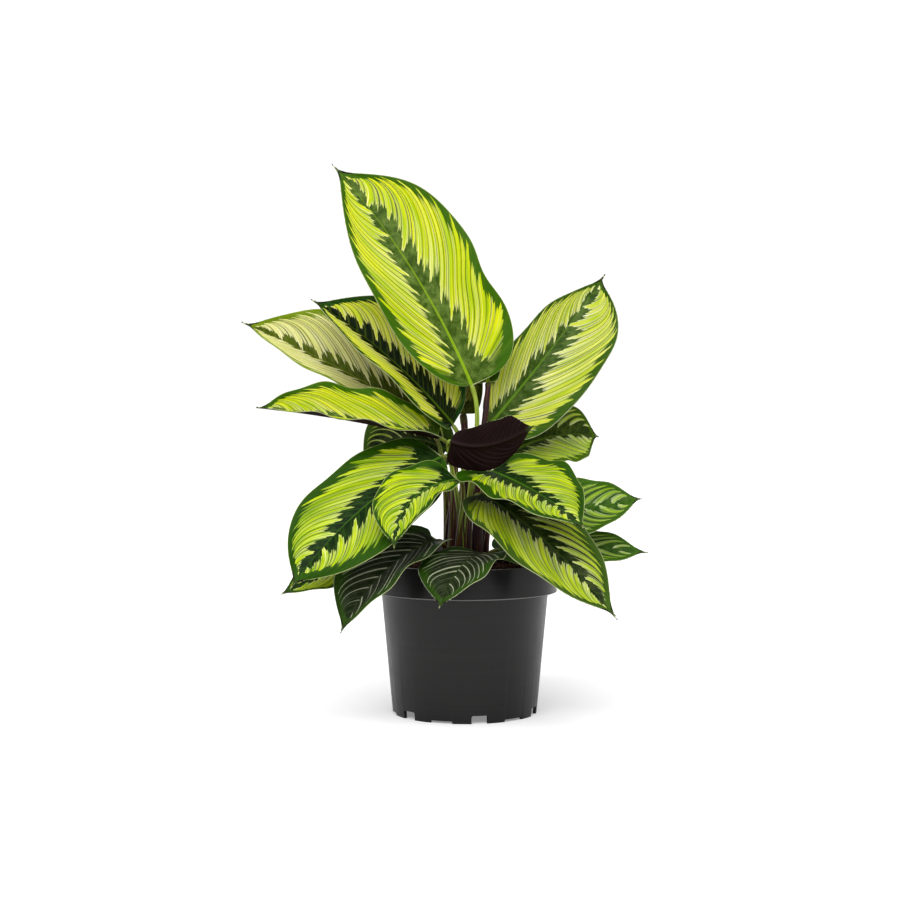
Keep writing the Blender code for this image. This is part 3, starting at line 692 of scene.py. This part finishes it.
# Blades: thin, tough and quilted between the side veins, which leave the midrib at a steep slant and curve on
# to the tip. The upper side is lime between a feathered dark band and a dark edge, and the underside is wine
# purple with a raised midrib.
VEINS = (19, 26)
ROWS_PER_VEIN = 8
FIRST_ROWS = (0, 0.002, 0.008, 0.02, 0.045, 0.08)
HALF_COLUMNS = (15, 20)
COLUMN_CROWDING = 1.35
BLADE_THICKNESS = 0.42
RIB_WIDTH = 1.1
RIB_GROOVE = 0.25
RIB_GROOVE_WIDTH = 0.8
QUILT = 0.34
FINE_QUILT = 0.12
FLAT_BY_RIB = 6.0
FLAT_BY_EDGE = 5.0
FLAT_WHERE_NARROW = 12.0
SLANT = 0.28
TIP_SLANT = 0.8
EVENING = 0.4
THIN_STRIPE = 0.5
NARROW_STRIPE = 0.8
THIN_STRIPE_CROWDING = 1.4
THIN_STRIPE_TAPER = 0.1
VEINS_APART = 40
BAND_START = 0.165
MARGIN_START = 0.18
SOFT_END = 0.012
STRIPE_POINT = 2.6
BAND_MOTTLE = 7.0
UNDERSIDE_MOTTLE = 9.0
EDGE_MOTTLE = 5.0
CELL_SIZE = 0.5
CELL_RELIEF = 0.25
UNDERSIDE_RELIEF = 0.3
SMOOTH = {"interpolation_type": "SMOOTHSTEP"}


def vein_end(root):
    """Where a side vein that leaves the midrib at root meets the edge, as shares of the midrib's length."""
    return 1 - (1 - root**SLANT) ** (1 + TIP_SLANT * root)


def vein_place(q, t):
    """Place along the midrib of the point at share t of the side vein q, from 0 at the base to 1."""
    roots = np.linspace(0, 1, 400) ** 3
    root = np.interp(q, EVENING * vein_end(roots) + (1 - EVENING) * roots, roots)
    return root + (vein_end(root) - root) * (0.6 * t + 0.4 * t * t)


PAINTS = {
    # pale, its yellow, its cream streaks, dark band, its painted sheen, margin, veins, midrib
    "lime": ("#aeca02", "#e4e810", "#f4f2a4", "#36500e", "#688034", "#386202", "#5c7c04", "#93b61c"),
    "pale": ("#b2c81c", "#e2e654", "#fbf9d2", "#304a0e", "#566e32", "#345808", "#667c18", "#6f9a28"),
    # The cream look is painted backlight: the pale yellow of a blade that light shines through.
    "cream": ("#dfe07c", "#f0f09a", "#fcf8ce", "#465606", "#5a6c10", "#78940c", "#8c8c34", "#8a9430"),
    # The deep look's near-black band is partly painted shade: its leaf lies in the shade of the top leaf.
    "deep": ("#ccdc2a", "#ecee36", "#f6f0ac", "#0a1803", "#142808", "#164408", "#6c8010", "#567414"),
    "green": ("#86ac02", "#d0e20c", "#e6f092", "#0c2406", "#223c10", "#2a5006", "#3e6c06", "#4c7a1e"),
    "mid": ("#9cc010", "#cce43c", "#f0f4c0", "#2a3c0a", "#4e601a", "#4a6a0c", "#567c0c", "#6a8a1e"),
    "olive": ("#94b20e", "#cade28", "#eef0b8", "#182808", "#3c4824", "#42601a", "#4c6610", "#4a6424"),
    "fresh": ("#7ca412", "#a2c42c", "#f0f6cc", "#2a500c", "#4a6a22", "#3e6610", "#44680e", "#4c7a1e"),
    "dark": ("#b0ba8c", "#c8d2a4", "#eceed6", "#1c2810", "#343f28", "#2c4c0c", "#58643c", "#38501a"),
    "backlit": ("#a4a82c", "#b6b63e", "#dcdc7c", "#343e0c", "#525c1c", "#42540e", "#66681a", "#7a8a2a"),
}


def mesh_layers(tree, *layers):
    """The three numbers of each of these layers, which build_blade gives to every point of a blade."""
    sources = [add(tree, "Attribute", {"attribute_name": layer}) for layer in layers]
    return [add(tree, "SeparateXYZ", links={0: source.outputs["Vector"]}) for source in sources]


def numbered(tree, veins):
    """Where the left half is, and the side veins' numbers, with the left ones half way between the right."""
    left = add(tree, "Math", {"operation": "LESS_THAN", 1: 0.0}, {0: veins.outputs["Y"]})
    return left, add(tree, "Math", {"operation": "MULTIPLY_ADD", 1: 0.5}, {0: left, 2: veins.outputs["X"]})


def blade_upper(name):
    """Leaf skin, upper side: lime and cream stripes between the side veins, feathered into the dark band and
    the dark edge, under a thin waxy cuticle that gives a broad soft shine. Some light comes through."""
    pale, yellow, cream, band, band_sheen, margin, vein, midrib = (linear(code) for code in PAINTS[name])
    made, tree = paint("leaf upper side, " + name)
    veins, zones, edges = mesh_layers(tree, "veins", "zones", "edges")
    left, number = numbered(tree, veins)
    reach = add(tree, "Math", {"operation": "ABSOLUTE"}, {0: veins.outputs["Y"]})

    def feathered(count, offset, start, end):
        """How far the pale stripes reach: their ends are drawn at random for each of count stripes a vein."""
        counted = add(tree, "Math", {"operation": "MULTIPLY_ADD", 1: count, 2: offset}, {0: number})
        middle = add(tree, "Math", {"operation": "PINGPONG", 1: 0.5}, {0: counted})
        cell = add(tree, "Math", {"operation": "FLOOR"}, {0: counted})
        key = add(tree, "CombineXYZ", {2: count}, {0: cell, 1: left})
        drawn = add(tree, "TexWhiteNoise", links={0: key})
        draw = add(tree, "SeparateColor", links={0: drawn.outputs["Color"]})
        shifts = []
        for channel, size in (("Red", start), ("Green", end)):
            shift = add(tree, "Math", {"operation": "SUBTRACT", 1: 0.5}, {0: draw.outputs[channel]})
            point = add(tree, "Math", {"operation": "MULTIPLY_ADD", 1: STRIPE_POINT}, {0: middle, 2: shift})
            shifts.append(add(tree, "Math", {"operation": "MULTIPLY", 1: size}, {0: point}))
        return middle, draw.outputs["Blue"], shifts

    wide, wide_draw, wide_shifts = feathered(0.5, 0.25, 0.12, 0.07)
    fine, fine_draw, fine_shifts = feathered(1.0, 0.0, 0.1, 0.07)
    hair, hair_draw, hair_shifts = feathered(4.0, 0.0, 0.05, 0.04)
    past_band, past_margin = zones.outputs["X"], zones.outputs["Y"]
    for shifts in (wide_shifts, fine_shifts, hair_shifts):
        past_band = add(tree, "Math", {"operation": "ADD"}, {0: past_band, 1: shifts[0]})
        past_margin = add(tree, "Math", {"operation": "ADD"}, {0: past_margin, 1: shifts[1]})
    lit, off_margin = (
        add(tree, "MapRange", SMOOTH | {1: start - SOFT_END, 2: start + SOFT_END}, {0: past})
        for past, start in ((past_band, BAND_START), (past_margin, MARGIN_START))
    )
    # A stripe fills this share of the space between two veins.
    gap = add(tree, "Math", {"operation": "MULTIPLY_ADD", 1: 2.0, 2: -1.0}, {0: wide})
    share = add(tree, "Math", {"operation": "ADD"}, {0: gap, 1: edges.outputs["Z"]})
    loose = add(tree, "Math", {"operation": "MULTIPLY_ADD", 1: 0.22}, {0: wide_draw, 2: share})
    in_stripe = add(tree, "MapRange", SMOOTH | {1: 0.04, 2: 0.26}, {0: loose})
    past_base = add(tree, "MapRange", {1: 1.0, 2: 2.0}, {0: zones.outputs["Z"]})
    for mask in (off_margin, in_stripe, past_base):
        lit = add(tree, "Math", {"operation": "MULTIPLY"}, {0: lit, 1: mask})
    # Drawn streaks turn a pale stripe yellow or cream, and it is creamiest near the band.
    run = add(tree, "CombineXYZ", links={0: number, 1: reach})
    broad = add(tree, "Mapping", {"Scale": (0.7, 2.0, 1.0)}, {"Vector": run})
    thin = add(tree, "Mapping", {"Scale": (4.2, 1.6, 1.0)}, {"Vector": run})
    yellowing = add(tree, "TexNoise", {"Scale": 1.0, "Detail": 2.0}, {"Vector": broad})
    streaking = add(tree, "TexNoise", {"Scale": 1.0, "Detail": 3.0, "Roughness": 0.6}, {"Vector": thin})
    to_yellow = add(tree, "MapRange", {1: 0.35, 2: 0.65}, {0: yellowing})
    near = add(tree, "MapRange", {1: 0.155, 2: 0.7, 3: 1.0, 4: 0.0}, {0: past_band})
    streaks = add(tree, "Math", {"operation": "MULTIPLY_ADD", 1: 0.11}, {0: near, 2: streaking})
    paling = add(tree, "MapRange", SMOOTH | {1: 0.56, 2: 0.74, 4: 0.6}, {0: streaks})
    # Thin white lines, drawn at random, run side by side with the veins and fade out towards the edge.
    white = add(tree, "MapRange", SMOOTH | {1: 0.2, 2: 0.4}, {0: hair})
    chosen = add(tree, "MapRange", {1: 0.66, 2: 0.8}, {0: hair_draw})
    fade = add(tree, "MapRange", {3: 0.35, 4: 1.0}, {0: near})
    for mask in (chosen, fade):
        white = add(tree, "Math", {"operation": "MULTIPLY"}, {0: white, 1: mask})
    # A stripe is also palest at its end by the band, and a narrow one along its two sides.
    ends = add(tree, "MapRange", SMOOTH | {1: BAND_START, 2: 0.235, 3: 0.65, 4: 0.0}, {0: past_band})
    sides = add(tree, "Math", {"operation": "PINGPONG", 1: 0.5}, {0: in_stripe})
    sides = add(tree, "Math", {"operation": "MULTIPLY", 1: 1.8}, {0: sides})
    for other in (white, ends, sides):
        paling = add(tree, "Math", {"operation": "MAXIMUM", "use_clamp": True}, {0: paling, 1: other})
    stripes = add(tree, "Mix", RGBA | {6: pale, 7: yellow}, {0: to_yellow})
    stripes = add(tree, "Mix", RGBA | {7: cream}, {0: paling, 6: stripes.outputs[2]})
    # A darker line runs on each vein, and finer ones between the veins. Each vein line fades softly into the
    # stripe beside it: that soft darkening by the veins is painted shade of the quilting.
    lines = add(tree, "MapRange", SMOOTH | {1: 0.02, 2: 0.22, 3: 1.0, 4: 0.0}, {0: fine})
    strong = add(tree, "MapRange", {3: 0.45, 4: 1.0}, {0: fine_draw})
    lines = add(tree, "Math", {"operation": "MULTIPLY"}, {0: lines, 1: strong})
    hairs = add(tree, "MapRange", SMOOTH | {1: 0.0, 2: 0.3, 3: 0.25, 4: 0.0}, {0: hair})
    line = add(tree, "Math", {"operation": "MAXIMUM"}, {0: lines, 1: hairs})
    stripes = add(tree, "Mix", RGBA | {7: vein}, {0: line, 6: stripes.outputs[2]})
    # Dark parts: a mottled band with patches of painted greyish sheen, and a plainer, greener margin.
    place = add(tree, "TexCoord").outputs["Object"]
    mottled = {"Scale": 1 / (BAND_MOTTLE * MM), "Detail": 4.0, "Roughness": 0.65}
    mottle = add(tree, "TexNoise", mottled, {"Vector": place})
    sheen_patches = add(tree, "MapRange", {1: 0.42, 2: 0.66}, {0: mottle})
    outside = add(tree, "MapRange", SMOOTH | {1: 0.3, 2: 0.02}, {0: zones.outputs["Y"]})
    faint = add(tree, "Math", {"operation": "MULTIPLY", 1: 0.3}, {0: lines})
    dark = add(tree, "Mix", RGBA | {6: band, 7: band_sheen}, {0: sheen_patches})
    dark = add(tree, "Mix", RGBA | {7: margin}, {0: outside, 6: dark.outputs[2]})
    dark = add(tree, "Mix", RGBA | {7: vein}, {0: faint, 6: dark.outputs[2]})
    colour = add(tree, "Mix", RGBA, {0: lit, 6: dark.outputs[2], 7: stripes.outputs[2]})
    # The midrib is pale green at the base, and thins out and fades towards the tip. The edge is paler too.
    left_over = add(tree, "Math", {"operation": "SUBTRACT", 0: 1.0}, {1: veins.outputs["Z"]})
    half_rib = add(tree, "Math", {"operation": "MULTIPLY_ADD", 1: 1.3, 2: 0.2}, {0: left_over})
    in_rib = add(tree, "Math", {"operation": "SUBTRACT"}, {0: half_rib, 1: edges.outputs["X"]})
    rib = add(tree, "MapRange", SMOOTH | {1: -0.15, 2: 0.25}, {0: in_rib})
    fading = add(tree, "MapRange", {1: 0.0, 2: 0.7, 3: 0.2, 4: 0.85}, {0: left_over})
    rib = add(tree, "Math", {"operation": "MULTIPLY"}, {0: rib, 1: fading})
    colour = add(tree, "Mix", RGBA | {7: midrib}, {0: rib, 6: colour.outputs[2]})
    rim = add(tree, "MapRange", SMOOTH | {1: 0.15, 2: 0.5, 3: 0.4, 4: 0.0}, {0: edges.outputs["Y"]})
    colour = add(tree, "Mix", RGBA | {7: cream}, {0: rim, 6: colour.outputs[2]})
    gloss = add(tree, "MapRange", {3: 0.36, 4: 0.46}, {0: lit})
    cells = add(tree, "TexNoise", {"Scale": 1 / (CELL_SIZE * MM), "Detail": 2.0}, {"Vector": place})
    height = add(tree, "Math", {"operation": "MULTIPLY_ADD", 1: 0.4}, {0: cells, 2: hair})
    relief = add(tree, "Bump", {"Strength": 0.3, "Distance": CELL_RELIEF * MM}, {"Height": height})
    skin = add(
        tree, "BsdfPrincipled", {"IOR": 1.45, "Specular IOR Level": 0.09},
        {"Base Color": colour.outputs[2], "Roughness": gloss, "Normal": relief},
    )
    glow = add(tree, "BsdfTranslucent", links={"Color": colour.outputs[2]})
    leafy = add(tree, "MixShader", {0: 0.18}, {1: skin, 2: glow})
    add(tree, "OutputMaterial", links={"Surface": leafy})
    return made


def blade_lower():
    """Leaf skin, underside: near-black wine purple, partly its own colour and partly painted shade, mottled,
    with paler side veins, a satin surface, and green where it narrows.
    """
    made, tree = paint("leaf underside")
    veins, edges = mesh_layers(tree, "veins", "edges")
    middle = add(tree, "Math", {"operation": "PINGPONG", 1: 0.5}, {0: numbered(tree, veins)[1]})
    place = add(tree, "TexCoord").outputs["Object"]
    mottled = {"Scale": 1 / (UNDERSIDE_MOTTLE * MM), "Detail": 4.0}
    mottle = add(tree, "TexNoise", mottled, {"Vector": place})
    line = add(tree, "MapRange", SMOOTH | {1: 0.0, 2: 0.12, 3: 0.4, 4: 0.0}, {0: middle})
    rib = add(tree, "MapRange", SMOOTH | {1: 0.7, 2: 1.5, 3: 0.5, 4: 0.0}, {0: edges.outputs["X"]})
    tip = add(tree, "MapRange", {1: 0.94, 2: 0.99}, {0: veins.outputs["Z"]})
    width = add(tree, "Math", {"operation": "ADD"}, {0: edges.outputs["X"], 1: edges.outputs["Y"]})
    narrow = add(tree, "MapRange", {1: 3.0, 2: 1.5}, {0: width})
    green = add(tree, "Math", {"operation": "MAXIMUM"}, {0: tip, 1: narrow})
    # The near-black base purple is partly the underside's own colour and partly painted shade.
    colour = add(tree, "Mix", RGBA | {6: linear("#0f0404"), 7: linear("#1c0a0b")}, {0: mottle})
    for code, share in (("#341820", line), ("#22130f", rib), ("#34421c", green)):
        colour = add(tree, "Mix", RGBA | {7: linear(code)}, {0: share, 6: colour.outputs[2]})
    relief = add(tree, "Bump", {"Strength": 0.3, "Distance": UNDERSIDE_RELIEF * MM}, {"Height": middle})
    skin = add(
        tree, "BsdfPrincipled", {"Roughness": 0.55, "IOR": 1.45, "Specular IOR Level": 0.12},
        {"Base Color": colour.outputs[2], "Normal": relief},
    )
    add(tree, "OutputMaterial", links={"Surface": skin})
    return made


def blade_edge():
    """The cut edge of the blade: a thin pale green line."""
    made, tree = paint("leaf edge")
    place = add(tree, "TexCoord").outputs["Object"]
    mottle = add(tree, "TexNoise", {"Scale": 1 / (EDGE_MOTTLE * MM)}, {"Vector": place})
    colour = add(tree, "Mix", RGBA | {6: linear("#8c9a5c"), 7: linear("#b4bd84")}, {0: mottle})
    skin = add(tree, "BsdfPrincipled", {"Roughness": 0.5, "IOR": 1.45}, {"Base Color": colour.outputs[2]})
    add(tree, "OutputMaterial", links={"Surface": skin})
    return made


def build_blade(leaf, number, upper, lower, edge):
    """Bends a grid, whose rows follow the side veins, into a quilted blade with a midrib and three skins."""
    veins = VEINS[leaf.large]
    columns = HALF_COLUMNS[leaf.large]
    rows = np.array(FIRST_ROWS + tuple(np.arange(1, veins * ROWS_PER_VEIN + 1) / ROWS_PER_VEIN))
    bm = bmesh.new()
    bmesh.ops.create_grid(bm, x_segments=len(rows) - 1, y_segments=2 * columns, size=1)
    bmesh.ops.reverse_faces(bm, faces=bm.faces)
    bm.verts.ensure_lookup_table()
    flat = np.array([vert.co[:] for vert in bm.verts])
    row = rows[np.round((flat[:, 0] + 1) / 2 * (len(rows) - 1)).astype(int)]
    column = np.round(flat[:, 1] * columns)
    t = (np.abs(column) / columns) ** COLUMN_CROWDING
    v = np.sign(column) * t
    q = row / veins
    u = vein_place(q, t)
    for vert, place in zip(bm.verts, leaf.surface(u, v)):
        vert.co = place * MM
    bm.normal_update()
    reach = leaf.reach(u, v)
    from_rib = t * reach
    from_edge = (1 - t) * reach
    # The blade rises between the side veins, least by the midrib and the edge, and sinks along the midrib.
    wave = np.abs(np.sin(np.pi * (row + by_half(v, (0.5, 0))))) ** 0.7
    room = np.clip(from_rib / FLAT_BY_RIB, 0, 1) * np.clip(from_edge / FLAT_BY_EDGE + 0.08, 0, 1)
    room *= np.clip(reach / FLAT_WHERE_NARROW, 0, 1)
    height = QUILT * (wave - 0.6) * room
    height += FINE_QUILT * np.sin(3 * np.pi * row) * room
    height -= RIB_GROOVE * np.exp(-((from_rib / RIB_GROOVE_WIDTH) ** 2)) * np.clip(reach / 6, 0, 1)
    # The dark band widens to the base, and near the tip it meets the dark margin.
    stripe = by_half(v, leaf.stripe)
    band = by_half(v, leaf.band) * (1.35 - 0.85 * u) + 0.45 * np.exp(-((u / 0.07) ** 2))
    band = band + np.where(stripe < NARROW_STRIPE, 0.7, 0.2) * np.clip((u - 0.7) / 0.25, 0, 1) ** 2
    margin = by_half(v, leaf.margin) * (1 + 0.8 * (1 - u) ** 4)
    margin = margin * np.where(u > 0.5, np.clip(by_half(v, leaf.half) / np.maximum(reach, 1), 1, 4), 1)
    margin = margin + 1.2 * np.clip((u - 0.86) / 0.12, 0, 1) ** 2
    # Leaves with thin stripes have more of them.
    crowded = row * np.where(stripe < THIN_STRIPE, THIN_STRIPE_CROWDING, 1)
    stripe = stripe - np.where(stripe < THIN_STRIPE, THIN_STRIPE_TAPER * u * u, 0)
    thick = np.exp(-((from_rib / RIB_WIDTH) ** 2)) * np.clip(1.1 - u, 0.15, 1)
    veins_layer, zones_layer, edges_layer = (
        bm.verts.layers.float_vector.new(layer) for layer in ("veins", "zones", "edges")
    )
    weights = bm.verts.layers.deform.verify()
    for k, vert in enumerate(bm.verts):
        vert.co = vert.co + vert.normal * height[k] * MM
        vert[veins_layer] = Vector((crowded[k] + VEINS_APART * number, v[k], q[k]))
        vert[zones_layer] = Vector((t[k] - band[k], 1 - margin[k] - t[k], row[k]))
        vert[edges_layer] = Vector((from_rib[k], from_edge[k], stripe[k]))
        vert[weights][0] = float(thick[k])
    bmesh.ops.remove_doubles(bm, verts=bm.verts, dist=MERGED * MM)
    bmesh.ops.dissolve_degenerate(bm, edges=bm.edges, dist=MERGED / 2 * MM)
    blade = piece_of("blade_" + leaf.name, bm, upper, lower, edge)
    blade.vertex_groups.new(name="rib")
    solid = blade.modifiers.new("thickness", "SOLIDIFY")
    solid.thickness = MIDRIB_THICKNESS * MM
    solid.offset = -1
    solid.vertex_group = "rib"
    solid.thickness_vertex_group = BLADE_THICKNESS / MIDRIB_THICKNESS
    solid.material_offset = 1
    solid.material_offset_rim = 2
    settled(blade)
    return fitted(blade, "leaf", "leaf_" + leaf.name)


uppers = {name: blade_upper(name) for name in PAINTS}
underside = blade_lower()
cut_edge = blade_edge()
for number, leaf in enumerate(LEAVES):
    build_blade(leaf, number, uppers[leaf.look], underside, cut_edge)

# Studio: a white floor and a white room, which the camera sees brighter than it lights the plant, and one
# large soft light from the upper left. The camera stands in front, level with the middle of the plant.
FLOOR_SIZE = 6.0
CAMERA_PLACE = (-0.0112, -1.280, 0.233)
CAMERA_PITCH = 1.537
FOCAL_PIXELS = 1688
PICTURE_PIXELS = 900
SENSOR = 36.0
ROOM_LIGHT = 0.7
ROOM_WHITE = 1.1
FLOOR_WHITENING = 0.25
LAMP_STRENGTH = 2.4
LAMP_SPREAD = 65.0
LAMP_AIM = (0.16, 0.8, -1.0)


def white_floor():
    """Matt white studio board."""
    made, tree = paint("white board")
    seen = add(tree, "LightPath").outputs["Is Camera Ray"]
    glow = add(tree, "Math", {"operation": "MULTIPLY", 1: FLOOR_WHITENING}, {0: seen})
    white = {"Base Color": linear("#f3f3f3"), "Roughness": 0.9, "Emission Color": linear("#ffffff")}
    skin = add(tree, "BsdfPrincipled", white, {"Emission Strength": glow})
    add(tree, "OutputMaterial", links={"Surface": skin})
    return made


bm = bmesh.new()
bmesh.ops.create_grid(bm, x_segments=1, y_segments=1, size=FLOOR_SIZE)
piece_of("floor", bm, white_floor())

world = bpy.data.worlds.new("white room")
world.use_nodes = True
room = world.node_tree
room.nodes.clear()
seen = add(room, "LightPath").outputs["Is Camera Ray"]
brightness = add(room, "MapRange", {3: ROOM_LIGHT, 4: ROOM_WHITE}, {0: seen})
light = add(room, "Background", {"Color": linear("#ffffff")}, {"Strength": brightness})
add(room, "OutputWorld", links={"Surface": light})
bpy.context.scene.world = world

sky_lamp = bpy.data.lights.new("upper left light", "SUN")
sky_lamp.energy = LAMP_STRENGTH
sky_lamp.angle = math.radians(LAMP_SPREAD)
sky_light = bpy.data.objects.new("upper left light", sky_lamp)
sky_light.rotation_euler = Vector(LAMP_AIM).to_track_quat("-Z", "Y").to_euler()
bpy.context.scene.collection.objects.link(sky_light)

lens = bpy.data.cameras.new("camera")
lens.sensor_width = SENSOR
lens.lens = FOCAL_PIXELS * SENSOR / PICTURE_PIXELS
camera = bpy.data.objects.new("camera", lens)
camera.location = CAMERA_PLACE
camera.rotation_euler = (math.radians(90 - CAMERA_PITCH), 0, 0)
bpy.context.scene.collection.objects.link(camera)
bpy.context.scene.camera = camera
bpy.context.scene.view_settings.view_transform = "Standard"
